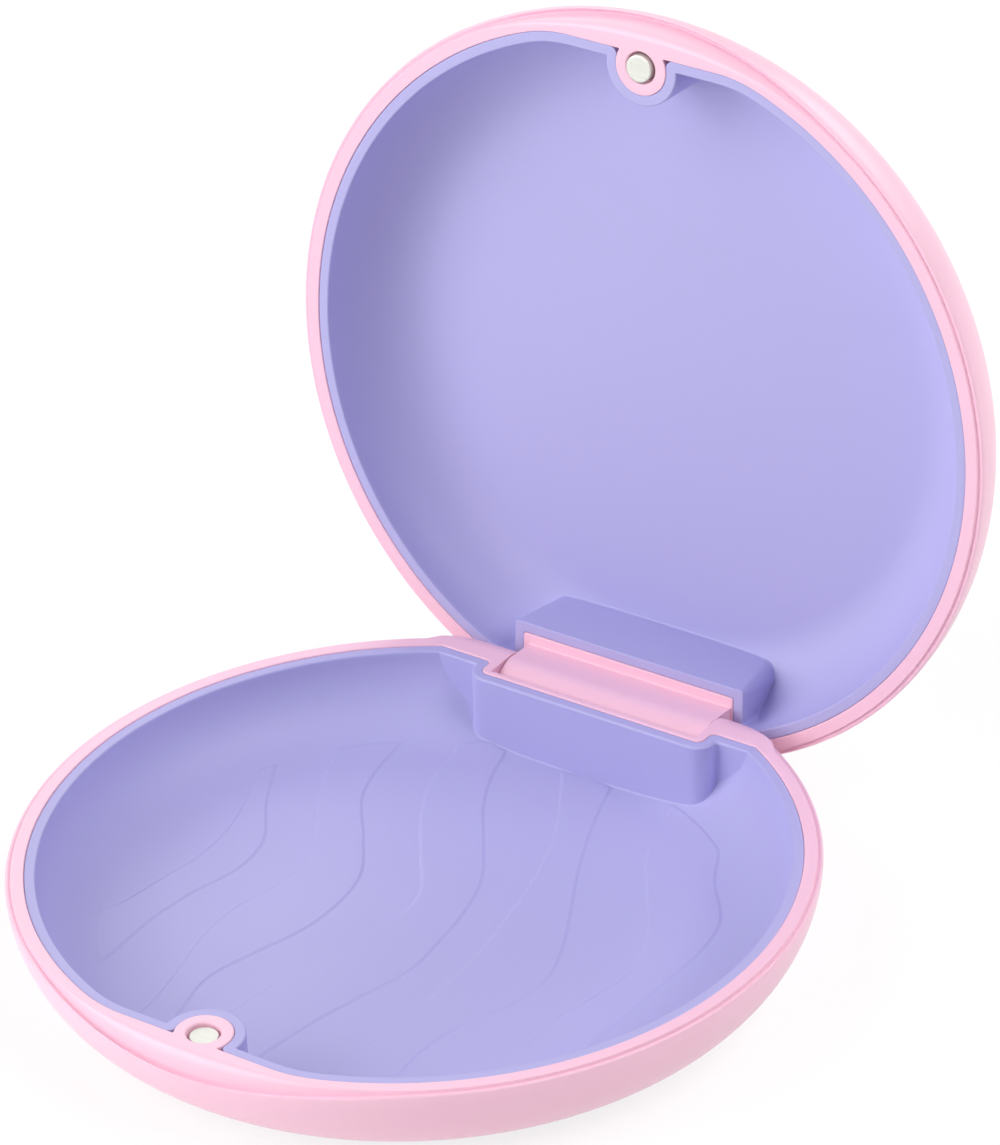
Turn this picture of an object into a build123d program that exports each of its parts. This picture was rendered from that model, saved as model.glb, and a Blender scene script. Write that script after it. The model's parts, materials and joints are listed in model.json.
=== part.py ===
from build123d import *
import math
import os

# Retainer case: a round clamshell in two halves on one hinge pin, in millimetres.
# The origin is the centre of the flat foot of the base, with the hinge towards +Y and the lid open.

# Shell outline, for both halves
RIM_RADIUS = 40.5          # where pink shell meets liner at the rim
SHELL_WALL = 2.0
HALF_DEPTH = 11.7          # foot to rim plane
SIDE_ARC = 11.3            # dome side, vertical at the rim
SIDE_TURN = 59.0           # degrees of the side arc, the foot arc turns the rest
LAND_RADIUS = 42.0         # flat land of the rim, inside the stepped line
RIM_STEP = 0.3
OUTER_RADIUS = RIM_RADIUS + SHELL_WALL

# Cavity and liner
CAVITY_DEPTH = 8.5
LINER_EDGE = 1.2           # width of the liner's visible rim
LINER_RECESS = 0.3         # liner rim below the land
LINER_BACK = 35.2          # straight back edge of the liner
LINER_FRONT = 38.85        # straight front edge, which leaves more shell behind the finger scoop
LINER_FRONT_BLEND = 15.0   # radius from the front edge into the round
NOTCH_HALF_WIDTH = 15.0    # liner steps round the hinge housing
NOTCH_FRONT = 32.5
NOTCH_CORNER = 0.8

# Hinge
HINGE_Y = 37.0
HINGE_DROP = 3.4           # axis below the rim plane, and radius of the knuckle on the base
OPEN_ANGLE = 94.8
CLOSED_GAP = 0.08          # between the two lands when shut
LUG_HALF_WIDTH = 13.25
LUG_RADIUS = 3.3
LUG_ROOT = 1.0             # depth of the lug's neck in the lid
POCKET_HALF_WIDTH = 13.4
POCKET_RADIUS = 3.65
LID_BACK = 40.4            # flat at the back of the lid
PIN_RADIUS = 0.8
PIN_BORE_RADIUS = 0.85     # running clearance in the lug
PIN_LEFT = -17.6
PIN_RIGHT = 19.2

# Magnets at the front
MAGNET_Y = -37.3
MAGNET_RADIUS = 1.5
MAGNET_HEIGHT = 2.0
MAGNET_CHAMFER = 0.12
BOSS_RADIUS = 3.05
BORE_RADIUS = 1.75
BORE_DEPTH = 0.9
BASE_MAGNET_TOP = -0.5     # sunk below the rim plane of the base
LID_MAGNET_TOP = 0.4       # proud of the rim plane of the lid

# Finger scoop at the front: a ring cut whose plane dips by SCOOP_TILT
SCOOP_TILT = 19.5
SCOOP_RADIUS = 41.75
SCOOP_DEPTH = 2.5
SCOOP_CORNER = 0.7
SCOOP_WALL_IN = 2.8        # the wall of the cut leans inwards as it rises
SCOOP_WALL_UP = 4.3
SCOOP_REACH = 4.0          # outside the crease the cut rises a little
SCOOP_LIP_RISE = 2.26

# Raised wave bands on the base liner's floor: x at each y station, left and right edge of a band
WAVE_HEIGHT = 0.2
WAVE_ROOT = 0.1            # depth of a band inside the floor
WAVE_STATIONS = (25, 15, 6, -3, -12, -21, -29)
WAVE_BANDS = (
    ((-36.0, -31.5, -28.0, -27.0, -28.3, -29.0, -30.0), (-32.5, -29.3, -23.7, -21.8, -24.3, -23.9, -23.0)),
    ((-27.0, -23.5, -18.3, -16.2, -18.0, -16.2, -15.0), (-20.2, -17.5, -10.8, -8.4, -10.5, -12.8, -11.0)),
    ((-13.3, -9.0, -3.6, -2.2, -4.3, -6.6, -8.5), (-6.0, -4.3, 2.2, 4.8, 3.8, 1.6, 0.0)),
    ((3.0, 4.6, 8.0, 9.4, 8.7, 8.0, 7.0), (11.3, 12.8, 16.0, 17.7, 15.0, 13.6, 13.0)),
    ((13.0, 18.5, 23.8, 24.6, 21.4, 21.4, 20.5), (21.5, 27.8, 28.5, 28.0, 27.6, 27.0, 26.0)),
)

# Arc between dome side and flat foot, and the radius of the flat foot
SIDE_SINE = math.sin(math.radians(SIDE_TURN))
SIDE_COSINE = math.cos(math.radians(SIDE_TURN))
FOOT_ARC = (HALF_DEPTH - SIDE_ARC * SIDE_SINE) / (1 - SIDE_SINE)
FOOT_RADIUS = OUTER_RADIUS - SIDE_ARC + (SIDE_ARC - FOOT_ARC) * SIDE_COSINE

# Reach of the solids that only cut or limit others
FAR = 60.0


def turned(lines):
    """Solid turned about Z from an outline drawn in radius and height."""
    return revolve(Plane.XZ * make_face(lines), axis=Axis.Z)


def dome(inset):
    """Solid of one half below its rim plane, drawn in evenly from the outer surface."""
    foot = Line((0, inset - HALF_DEPTH), (FOOT_RADIUS, inset - HALF_DEPTH))
    foot_arc = JernArc(foot @ 1, (1, 0), FOOT_ARC - inset, 90 - SIDE_TURN)
    side_arc = JernArc(foot_arc @ 1, foot_arc % 1, SIDE_ARC - inset, SIDE_TURN)
    top = Line(side_arc @ 1, (0, 0))
    middle = Line((0, 0), foot @ 0)
    return turned([foot, foot_arc, side_arc, top, middle])


def cavity_bowl():
    """Flat floor and quarter round wall of the space inside one half."""
    floor_radius = RIM_RADIUS - LINER_EDGE - CAVITY_DEPTH
    floor = Line((0, -CAVITY_DEPTH), (floor_radius, -CAVITY_DEPTH))
    wall = JernArc(floor @ 1, (1, 0), CAVITY_DEPTH, 90)
    top = Line(wall @ 1, (0, 0))
    middle = Line((0, 0), floor @ 0)
    return turned([floor, wall, top, middle])


def liner_plan():
    """Outline of a liner from above: round, straight at back and front, cut round the housing and the boss."""
    back_cut = Pos(0, LINER_BACK + FAR / 2) * Rectangle(2 * FAR, FAR)
    front_cut = Pos(0, -LINER_FRONT - FAR / 2) * Rectangle(2 * FAR, FAR)
    notch = Pos(0, NOTCH_FRONT + FAR / 2) * Rectangle(2 * NOTCH_HALF_WIDTH, FAR)
    plan = Circle(RIM_RADIUS) - back_cut - front_cut
    ends = [v for v in plan.vertices() if abs(v.Y + LINER_FRONT) < 0.01]
    plan = fillet(ends, LINER_FRONT_BLEND) - notch
    corners = [v for v in plan.vertices() if abs(abs(v.X) - NOTCH_HALF_WIDTH) < 0.01]
    plan = fillet(corners, NOTCH_CORNER)
    return plan - Pos(0, MAGNET_Y) * Circle(BOSS_RADIUS)


def prism(plan):
    """The plan extended far below the rim plane."""
    return extrude(plan, -FAR)


def bar(half_width, section):
    """Solid along X from a section drawn in Y and Z, from -half_width to half_width."""
    return extrude(Plane.YZ * section, half_width, both=True)


def along_hinge(radius, x_from, x_to):
    """Cylinder on the hinge axis."""
    middle = Pos((x_from + x_to) / 2, HINGE_Y, -HINGE_DROP)
    return middle * Rot(Y=90) * Cylinder(radius, x_to - x_from)


def scoop_cutter():
    """Ring with a tilted axis that cuts the finger scoop across the front of the rim."""
    tilt = math.radians(SCOOP_TILT)
    ring_radius = SCOOP_RADIUS * math.cos(tilt)
    outward = Vector(0, -math.cos(tilt), -math.sin(tilt))
    up = Vector(0, -math.sin(tilt), math.cos(tilt))
    centre = Vector(0, -SCOOP_RADIUS, -SCOOP_DEPTH) - outward * ring_radius
    section = Polygon(
        (ring_radius, 0),
        (ring_radius + SCOOP_REACH, SCOOP_LIP_RISE),
        (ring_radius + SCOOP_REACH, SCOOP_WALL_UP),
        (ring_radius - SCOOP_WALL_IN, SCOOP_WALL_UP),
        align=None,
    )
    crease = section.vertices().sort_by(Axis.Y)[0]
    section = fillet(crease, SCOOP_CORNER)
    frame = Plane(origin=centre, x_dir=outward, z_dir=outward.cross(up))
    return revolve(frame * section, axis=Axis(centre, up))


def magnet_bore(magnet_top):
    """Open counterbore with the tight seat of a magnet under it, for a half below its rim plane."""
    counterbore = Pos(0, MAGNET_Y) * Cylinder(BORE_RADIUS, 2 * BORE_DEPTH)
    seat_bottom = magnet_top - MAGNET_HEIGHT
    seat = Pos(0, MAGNET_Y, seat_bottom / 2) * Cylinder(MAGNET_RADIUS, -seat_bottom)
    return counterbore + seat


def half_shell(magnet_top):
    """Pink shell of one half, before its hinge is cut, with its rim plane at Z 0."""
    shell = dome(0)
    shell -= Cylinder(FAR, 2 * RIM_STEP) - Cylinder(LAND_RADIUS, 2 * RIM_STEP)
    shell -= scoop_cutter()
    shell -= prism(liner_plan()) & dome(SHELL_WALL)
    return shell - magnet_bore(magnet_top)


def half_liner():
    """Lavender liner of one half, with the rim plane of its shell at Z 0."""
    plan = liner_plan()
    liner = prism(plan) & dome(SHELL_WALL)
    liner -= prism(offset(plan, -LINER_EDGE)) & cavity_bowl()
    return liner - Pos(0, 0, FAR / 2 - LINER_RECESS) * Box(2 * FAR, 2 * FAR, FAR)


def magnet(top):
    """Nickel plated disc magnet with its top at the given height."""
    disc = Pos(0, MAGNET_Y, top - MAGNET_HEIGHT / 2) * Cylinder(MAGNET_RADIUS, MAGNET_HEIGHT)
    return chamfer(disc.edges().filter_by(GeomType.CIRCLE), MAGNET_CHAMFER)


def base_back():
    """Space that the base may fill: a knuckle round the hinge axis, then a face that the open lid lies along."""
    lean = math.radians(OPEN_ANGLE - 90)
    heel = (HINGE_Y + HINGE_DROP * math.cos(lean), -HINGE_DROP - HINGE_DROP * math.sin(lean))
    fall = FAR / 2
    toe = (heel[0] - fall * math.tan(lean), heel[1] - fall)
    top = Line((-FAR, 0), (HINGE_Y, 0))
    knuckle = JernArc(top @ 1, (1, 0), HINGE_DROP, -OPEN_ANGLE)
    back = Line(knuckle @ 1, toe)
    bottom = Line(toe, (-FAR, toe[1]))
    front = Line(bottom @ 1, top @ 0)
    return bar(FAR, make_face([top, knuckle, back, bottom, front]))


def hinge_pocket():
    """Room in the base for the lug of the lid, open at the top and the back."""
    low = -HINGE_DROP - POCKET_RADIUS
    front = HINGE_Y - POCKET_RADIUS
    wall = Line((front, FAR), (front, -HINGE_DROP))
    hollow = JernArc(wall @ 1, (0, -1), POCKET_RADIUS, 90)
    floor = Line(hollow @ 1, (FAR, low))
    back = Line(floor @ 1, (FAR, FAR))
    top = Line(back @ 1, wall @ 0)
    return bar(POCKET_HALF_WIDTH, make_face([wall, hollow, floor, back, top]))


def hinge_lug():
    """Lug of the lid, shut: a barrel on the axis with a flat front face up to the lid."""
    barrel = Pos(HINGE_Y, -HINGE_DROP) * Circle(LUG_RADIUS)
    neck_height = HINGE_DROP + LUG_ROOT
    neck = Pos(HINGE_Y - LUG_RADIUS / 2, -HINGE_DROP + neck_height / 2) * Rectangle(LUG_RADIUS, neck_height)
    return bar(LUG_HALF_WIDTH, barrel + neck)


def wave_bands():
    """Low raised bands that run from front to back on the floor of the base liner."""
    bands = []
    floor = Plane.XY.offset(-CAVITY_DEPTH - WAVE_ROOT)
    for left, right in WAVE_BANDS:
        left_edge = Spline([(x, y) for x, y in zip(left, WAVE_STATIONS)])
        right_edge = Spline([(x, y) for x, y in zip(right, WAVE_STATIONS)])
        back_edge = Line(left_edge @ 0, right_edge @ 0)
        front_edge = Line(left_edge @ 1, right_edge @ 1)
        outline = make_face([left_edge, front_edge, right_edge, back_edge])
        bands.append(extrude(floor * outline, WAVE_HEIGHT + WAVE_ROOT))
    return bands


def base_shell():
    """Base half with its knuckles, the pocket between them and the pin hole, open at the right."""
    shell = half_shell(BASE_MAGNET_TOP) & base_back()
    shell -= hinge_pocket()
    return shell - along_hinge(PIN_RADIUS, PIN_LEFT, FAR)


def base_liner():
    """Liner of the base with the wave bands on its floor."""
    liner = half_liner()
    room = dome(SHELL_WALL) & prism(liner_plan())
    for band in wave_bands():
        liner += band & room
    return liner


def flip(part):
    """One half turned over onto the base, its rim plane just above the rim plane of the base."""
    return Pos(0, 0, CLOSED_GAP) * Rot(Y=180) * part


def lid_shell():
    """Lid half, flat at the back, with its lug reaching down to the hinge axis, shut."""
    back_cut = Pos(0, LID_BACK + FAR / 2, 0) * Box(2 * FAR, FAR, 2 * FAR)
    shell = flip(half_shell(LID_MAGNET_TOP) - back_cut)
    shell += hinge_lug()
    return shell - along_hinge(PIN_BORE_RADIUS, -FAR, FAR)


def opened(part):
    """A piece of the lid swung from shut to open about the hinge axis."""
    hinge = Pos(0, HINGE_Y, -HINGE_DROP)
    return hinge * Rot(X=-OPEN_ANGLE) * hinge.inverse() * part


def save(part, name):
    """Write one piece, lifted so that the foot of the base lies at Z 0."""
    lifted = Pos(0, 0, HALF_DEPTH) * part
    lifted.label = name
    export_step(lifted, os.path.join("parts", name + ".step"))


os.makedirs("parts", exist_ok=True)
save(base_shell(), "base_shell")
save(base_liner(), "base_liner")
save(magnet(BASE_MAGNET_TOP), "base_magnet")
save(along_hinge(PIN_RADIUS, PIN_LEFT, PIN_RIGHT), "hinge_pin")
save(opened(lid_shell()), "lid_shell")
save(opened(flip(half_liner())), "lid_liner")
save(opened(flip(magnet(LID_MAGNET_TOP))), "lid_magnet")
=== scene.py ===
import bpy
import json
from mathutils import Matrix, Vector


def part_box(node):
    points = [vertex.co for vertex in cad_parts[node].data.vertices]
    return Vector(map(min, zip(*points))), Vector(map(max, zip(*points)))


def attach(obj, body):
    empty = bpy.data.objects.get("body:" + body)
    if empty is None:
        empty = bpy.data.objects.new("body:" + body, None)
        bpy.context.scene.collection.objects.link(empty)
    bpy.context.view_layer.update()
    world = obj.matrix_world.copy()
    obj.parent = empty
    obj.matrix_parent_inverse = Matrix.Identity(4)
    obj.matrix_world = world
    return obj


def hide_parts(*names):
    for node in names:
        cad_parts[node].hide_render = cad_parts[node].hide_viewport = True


bl_info = {
    "name": "Retainer case",
    "version": (1, 0, 0),
    "blender": (4, 5, 0),
    "location": "3D View > Sidebar > Retainer case",
    "description": "Moulded shells, soft liners, magnets and pin of a hinged retainer case",
    "category": "Add Mesh",
}

import json
import math

import bmesh
import bpy
import numpy as np
from bpy.props import FloatProperty, FloatVectorProperty, PointerProperty
from bpy.types import Operator, Panel, PropertyGroup
from mathutils import Euler, Matrix, Vector

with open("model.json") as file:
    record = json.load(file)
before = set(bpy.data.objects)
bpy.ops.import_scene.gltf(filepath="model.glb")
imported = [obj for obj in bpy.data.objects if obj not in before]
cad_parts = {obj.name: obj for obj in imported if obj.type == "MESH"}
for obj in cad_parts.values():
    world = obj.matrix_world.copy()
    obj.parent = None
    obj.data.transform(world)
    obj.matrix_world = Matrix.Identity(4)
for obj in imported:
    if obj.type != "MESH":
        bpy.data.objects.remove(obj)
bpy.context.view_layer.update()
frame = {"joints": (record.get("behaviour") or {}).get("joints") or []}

# Every shape is drawn in millimetres in one half of the case: the rim plane at Z 0, the cavity below it,
# the hinge towards +Y. A finished mesh is then scaled to metres and set where its half lies in the frame.
MM = 0.001


def millimetres(length):
    """A length of the frame or the panel, in the unit that the shapes are drawn in."""
    return length / MM


# What the frame gives: outer size, hinge line, opening angle, magnets and pin
SHELL_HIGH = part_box("base_shell")[1]
MAGNET_LOW, MAGNET_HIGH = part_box("base_magnet")
PIN_LOW, PIN_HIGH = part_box("hinge_pin")
HINGE = frame["joints"][0]
OPEN_ANGLE = HINGE["range_deg"][1]
OUTER_RADIUS = millimetres(SHELL_HIGH.x)
HALF_DEPTH = millimetres(SHELL_HIGH.z)
HINGE_Y = millimetres(HINGE["pos_m"][1])
HINGE_DROP = millimetres(SHELL_HIGH.z - HINGE["pos_m"][2])
MAGNET_RADIUS = millimetres((MAGNET_HIGH.x - MAGNET_LOW.x) / 2)
MAGNET_Y = millimetres((MAGNET_HIGH.y + MAGNET_LOW.y) / 2)
PIN_RADIUS = millimetres((PIN_HIGH.z - PIN_LOW.z) / 2)
PIN_LEFT, PIN_RIGHT = millimetres(PIN_LOW.x), millimetres(PIN_HIGH.x)


def size_setting(name, description, default):
    """A size on the panel, kept in metres and given here in millimetres."""
    metres = default * MM
    return FloatProperty(name=name, description=description, default=metres, unit="LENGTH", precision=5)


def colour_setting(name, description, default):
    """A colour on the panel, in linear light."""
    return FloatVectorProperty(
        name=name, description=description, default=default, subtype="COLOR", size=3, min=0.0, max=1.0
    )


def power_setting(name, description, default):
    """The power of one lamp, in watts."""
    return FloatProperty(name=name, description=description, default=default, unit="POWER", min=0.0)


class ShellSizes(PropertyGroup):
    """Sizes of the two pink shells"""

    wall: size_setting("Wall", "Thickness of a shell", 2.0)
    side_arc: size_setting("Side arc", "Radius of the rounded side", 11.3)
    foot_arc: size_setting("Foot arc", "Radius between the side and the flat foot", 14.1)
    foot_radius: size_setting("Foot radius", "Radius of the flat foot", 29.76)
    step_depth: size_setting("Step depth", "Depth of the fine line outside the rim", 0.3)
    scoop_depth: size_setting("Scoop depth", "Depth of the finger scoop at the front", 2.4)
    edge_round: size_setting("Edge round", "Radius of the rim's inner edge", 0.12)


class LinerSizes(PropertyGroup):
    """Sizes of the two soft liners"""

    edge: size_setting("Edge", "Width of the liner's rim", 1.2)
    edge_round: size_setting("Edge round", "Radius of the rim's inner edge", 0.18)
    soft_round: size_setting("Soft round", "The same at the hinge housing of the base", 0.30)
    crisp_round: size_setting("Crisp round", "The same at the hinge housing of the lid", 0.12)
    recess: size_setting("Recess", "Height of the shell's rim above the liner's", 0.12)
    depth: size_setting("Depth", "Depth of the cavity", 8.5)
    notch_back: size_setting("Notch back", "Straight back edge of the base's liner", 35.2)
    front: size_setting("Front", "Straight front edge, from the middle of the case", 38.85)
    front_blend: size_setting("Front blend", "Radius from the front edge into the round", 15.0)
    notch_half: size_setting("Notch half width", "Half the width of the base's hinge housing", 14.1)
    notch_side: size_setting("Notch side", "The base's housing sits this far to the right", 0.55)
    notch_front: size_setting("Notch front", "Front of the base's hinge housing", 32.85)
    notch_corner: size_setting("Notch corner", "Radius of the housing's corners", 0.8)
    crisp_half: size_setting("Crisp half width", "Half the width of the lid's hinge housing", 13.4)
    crisp_front: size_setting("Crisp front", "Front of the lid's hinge housing", 32.5)
    crisp_side: size_setting("Crisp side", "The lid's housing sits this far to the right", 0.35)
    crisp_back: size_setting("Crisp back", "Straight back edge of the lid's liner", 36.8)
    crisp_corner: size_setting("Crisp corner", "Radius of the corners of the lid's housing", 0.25)
    crisp_foot: size_setting("Crisp foot", "Radius of those corners at their foot", 1.8)
    groove: size_setting("Groove", "Radius between a boxed wall and the cavity", 0.2)
    wave_height: size_setting("Wave height", "Height of the raised bands on the floor", 0.15)


class HingeSizes(PropertyGroup):
    """Sizes of the hinge"""

    lug_half: size_setting("Lug half width", "Half the width of the lug", 12.9)
    lug_side: size_setting("Lug side", "The lug and its pocket sit this far to the right", 0.6)
    lug_radius: size_setting("Lug radius", "Radius of the lug's barrel", 3.3)
    lug_root: size_setting("Lug root", "Depth of the lug's neck in the lid", 1.0)
    pocket_half: size_setting("Pocket half width", "Half the width of the pocket", 13.05)
    pocket_radius: size_setting("Pocket radius", "Radius of the hollow round the lug", 3.48)
    pin_bore: size_setting("Pin bore", "Radius of the lug's running hole", 0.85)
    lid_back: size_setting("Lid back", "Flat at the back of the lid", 40.4)
    closed_gap: size_setting("Closed gap", "Between the two rims when shut", 0.08)


class MagnetSizes(PropertyGroup):
    """Sizes of the magnets and their bosses"""

    height: size_setting("Height", "Thickness of a magnet", 2.0)
    chamfer: size_setting("Chamfer", "Rounded edge of a magnet", 0.12)
    boss_radius: size_setting("Boss radius", "Radius of the boss round a magnet", 3.05)
    bore_radius: size_setting("Bore radius", "Radius of the open bore", 1.75)
    bore_depth: size_setting("Bore depth", "Depth of the open bore", 0.9)
    base_top: size_setting("Base top", "Top of the base's magnet, over the rim plane", -0.37)
    lid_top: size_setting("Lid top", "Top of the lid's magnet, over the rim plane", 0.4)


class CaseFinish(PropertyGroup):
    """Colours of the case"""

    pink: colour_setting("Shell pink", "Moulded plastic of the shells", (0.925, 0.575, 0.71))
    pink_deep: colour_setting("Shell shade", "Where the moulding is a little denser", (0.915, 0.55, 0.685))
    lavender: colour_setting("Liner lavender", "Silicone of the liners", (0.455, 0.435, 0.74))
    lavender_deep: colour_setting("Liner shade", "Where the silicone is denser", (0.435, 0.412, 0.72))
    # Painted highlight: this pale lavender is put on the left ramps of the floor's wave bands, where light
    # from the left would catch them
    lavender_pale: colour_setting("Pale lavender", "Left edges of the liner's bands", (0.74, 0.72, 1.0))
    nickel: colour_setting("Nickel", "Plating of the magnets", (0.64, 0.65, 0.60))
    steel: colour_setting("Steel", "Drawn wire of the pin", (0.56, 0.56, 0.57))
    floor: colour_setting("Floor", "Plain floor", (0.93, 0.93, 0.93))


class StudioSettings(PropertyGroup):
    """Light and camera"""

    key: power_setting("Key", "Low lamp at the left front", 5.8)
    sky: power_setting("Sky", "High lamp at the left front", 4.6)
    front: power_setting("Front", "Lamp in front", 2.8)
    side: power_setting("Side", "High lamp at the right", 7.8)
    rear_left: power_setting("Rear left", "High lamp behind the case at the left", 2.8)
    rear: power_setting("Rear", "High lamp behind the case", 4.4)
    lens: FloatProperty(name="Lens", description="Focal length", default=190.953, unit="CAMERA")


GROUPS = {
    "case_shell": ShellSizes,
    "case_liner": LinerSizes,
    "case_hinge": HingeSizes,
    "case_magnet": MagnetSizes,
    "case_finish": CaseFinish,
    "case_studio": StudioSettings,
}


def sizes(group):
    """The sizes of one group of the panel, as a dictionary in millimetres."""
    values = getattr(bpy.context.scene, group)
    return {name: millimetres(getattr(values, name)) for name in GROUPS[group].__annotations__}


# Number of steps along each stretch of the outline, from the middle of the back to the middle of the front
NOTCH_STEPS = 12
CORNER_STEPS = 6
SIDE_STEPS = 2
TURN_STEPS = 5
BACK_STEPS = 6
BLEND_STEPS = 5
ROUND_STEPS = 108
FRONT_STEPS = 8
CHORD_STEPS = 6
ROOT_STEPS = 5
BOSS_STEPS = 14
BACK_COLUMNS = NOTCH_STEPS + CORNER_STEPS + SIDE_STEPS + TURN_STEPS + BACK_STEPS + BLEND_STEPS
FRONT_COLUMNS = FRONT_STEPS + CHORD_STEPS + ROOT_STEPS + BOSS_STEPS
HALF_COLUMNS = BACK_COLUMNS + ROUND_STEPS + FRONT_COLUMNS

BACK_BLEND = 0.6           # radius where the straight back edge meets the round
LEAST_TURN = 0.35          # smallest radius of the housing's outer corners
CRISP_GROWTH = 0.15        # how little the crisp corners open up towards the cavity
BOSS_ROOT = 0.12           # radius where a boss leaves the rim
BOSS_ROOT_GAP = 0.9        # the silicone rounds off more there beside the shell and leaves a dark gap
BOSS_ROOT_REACH = 0.3
LINER_PLAY = 0.02
LINER_OUTER_ROUND = 0.1
LINER_LEAST = 0.2          # thickness of the liner's rim where its seat comes near
RIM_MARGIN = 0.15          # flat rows beside the rounded edges of a liner's rim
EDGE_LEAD = -0.3
LAND_PARTS = (0.3, 0.8, 0.93)
LAND_TUCK = 0.4
WALL_DROP = 0.25           # how far the shell's wall runs straight down behind a liner's rim
SEAT_DROP = 0.3            # and how far below that rim its seat may begin
FOOT_INNER = 0.9
SEAT_RADIUS = 28.0
SEAT_PARTS = (0, 0.02, 0.06, 0.14, 0.26, 0.42, 0.65, 1)
FLOOR_TUCK = 0.015
BACK_FAN = 1.08            # how far the columns spread on their way to the floor, at the housing
FRONT_FAN = (1.7, 1.2)     # how far the columns spread on their way to the floor, at the boss and beside it
BOSS_FAN = (2.6, 1.9)      # where the columns at the boss's root and flank cross the outer surface


def straight(start, end, steps):
    """Points from start towards end, without end."""
    start, end = np.array(start, float), np.array(end, float)
    return [start + (end - start) * k / steps for k in range(steps)]


def arc(centre, radius, start, end, steps):
    """Points on an arc with both its ends, angles in degrees."""
    angles = np.radians(np.linspace(start, end, steps + 1))
    return [(centre[0] + radius * math.cos(a), centre[1] + radius * math.sin(a)) for a in angles]


def bow(centre, radius, start, end, steps):
    """Points on an arc without its end, to go on from."""
    return [np.array(point) for point in arc(centre, radius, start, end, steps)[:-1]]


def both_sides(right):
    """A closed loop from its right half, from the middle of the back to the middle of the front."""
    left = [np.array((-x, y)) for x, y in right[-2:0:-1]]
    return np.array(right + left)


def outline(grow, root, crisp=False, foot=False):
    """Outline of a liner from above, drawn out by grow, with the given radius at the roots of the boss."""
    liner = sizes("case_liner")
    rim = OUTER_RADIUS - sizes("case_shell")["wall"] + grow
    kind = "crisp" if crisp else "notch"
    half, front, corner = liner[kind + "_half"], liner[kind + "_front"], liner[kind + "_corner"]
    aside = -liner["crisp_side"] if crisp else liner["notch_side"]
    notch_y, back_y = front + grow, liner[kind + "_back"] + grow
    bend = corner - CRISP_GROWTH * grow if crisp else corner - grow
    if crisp and foot:
        bend = liner["crisp_foot"]
    inner = (half - grow - bend, notch_y + bend)
    turn = max(liner["notch_corner"] + grow, LEAST_TURN)
    turn_at = (half - grow + turn, back_y - turn)
    blend_at = (math.sqrt((rim - BACK_BLEND) ** 2 - (back_y - BACK_BLEND) ** 2), back_y - BACK_BLEND)
    blend_angle = math.degrees(math.atan2(blend_at[1], blend_at[0]))
    front_y = -liner["front"] - grow
    front_radius = liner["front_blend"] + grow
    front_at_y = front_y + front_radius
    front_at = (math.sqrt((rim - front_radius) ** 2 - front_at_y ** 2), front_at_y)
    front_angle = math.degrees(math.atan2(front_at[1], front_at[0]))
    boss = sizes("case_magnet")["boss_radius"] - grow
    root_y = front_y + root
    root_x = math.sqrt((boss + root) ** 2 - (root_y - MAGNET_Y) ** 2)
    boss_angle = math.degrees(math.atan2(root_y - MAGNET_Y, root_x))
    right = straight((0, notch_y), (inner[0], notch_y), NOTCH_STEPS)
    right += bow(inner, bend, -90, 0, CORNER_STEPS)
    right += straight((half - grow, inner[1]), (half - grow, turn_at[1]), SIDE_STEPS)
    right += bow(turn_at, turn, 180, 90, TURN_STEPS)
    right += straight((turn_at[0], back_y), (blend_at[0], back_y), BACK_STEPS)
    right += bow(blend_at, BACK_BLEND, 90, blend_angle, BLEND_STEPS)
    right += bow((0, 0), rim, blend_angle, front_angle, ROUND_STEPS)
    right += bow(front_at, front_radius, front_angle, -90, FRONT_STEPS)
    right += straight((front_at[0], front_y), (root_x, front_y), CHORD_STEPS)
    right += bow((root_x, root_y), root, 270, boss_angle + 180, ROOT_STEPS)
    right += bow((0, MAGNET_Y), boss, boss_angle, 90, BOSS_STEPS)
    loop = both_sides(right + [np.array((0.0, MAGNET_Y + boss))])
    loop[:, 0] += aside * housing_share()
    return loop


def housing_share():
    """1 for the columns round the hinge housing, fading to 0 where the round begins."""
    last = NOTCH_STEPS + CORNER_STEPS + SIDE_STEPS + TURN_STEPS
    right = 1 - smooth((np.arange(HALF_COLUMNS + 1) - last) / BACK_STEPS)
    return np.concatenate((right, right[-2:0:-1]))


def smooth(value):
    """A soft step from 0 to 1."""
    value = np.clip(value, 0.0, 1.0)
    return value * value * (3 - 2 * value)


def liner_outline(grow, crisp=False, foot=False):
    """The outline for a liner, which stands off the shell at the roots of the boss."""
    near = max(0.0, 1 + grow / BOSS_ROOT_REACH)
    return outline(grow, BOSS_ROOT + (BOSS_ROOT_GAP - BOSS_ROOT) * near, crisp, foot)


def turned_from_back(angles):
    """A closed loop of directions from the angles of its right half, in radians from the back."""
    return both_sides([np.array((math.sin(a), math.cos(a))) for a in angles])


def outer_directions():
    """The direction in which each column of the mesh crosses the outer surface."""
    inner = outline(0, BOSS_ROOT)
    root = HALF_COLUMNS - BOSS_STEPS - ROOT_STEPS
    boss = HALF_COLUMNS - BOSS_STEPS
    knots = (0, BACK_COLUMNS, BACK_COLUMNS + ROUND_STEPS, root, boss, HALF_COLUMNS)
    first, last = (math.atan2(*inner[knot]) for knot in knots[1:3])
    at_root, at_boss = (math.pi - math.asin(x / OUTER_RADIUS) for x in BOSS_FAN)
    angles = (0, first, last, at_root, at_boss, math.pi)
    return turned_from_back(np.interp(range(HALF_COLUMNS + 1), knots, angles))


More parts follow.
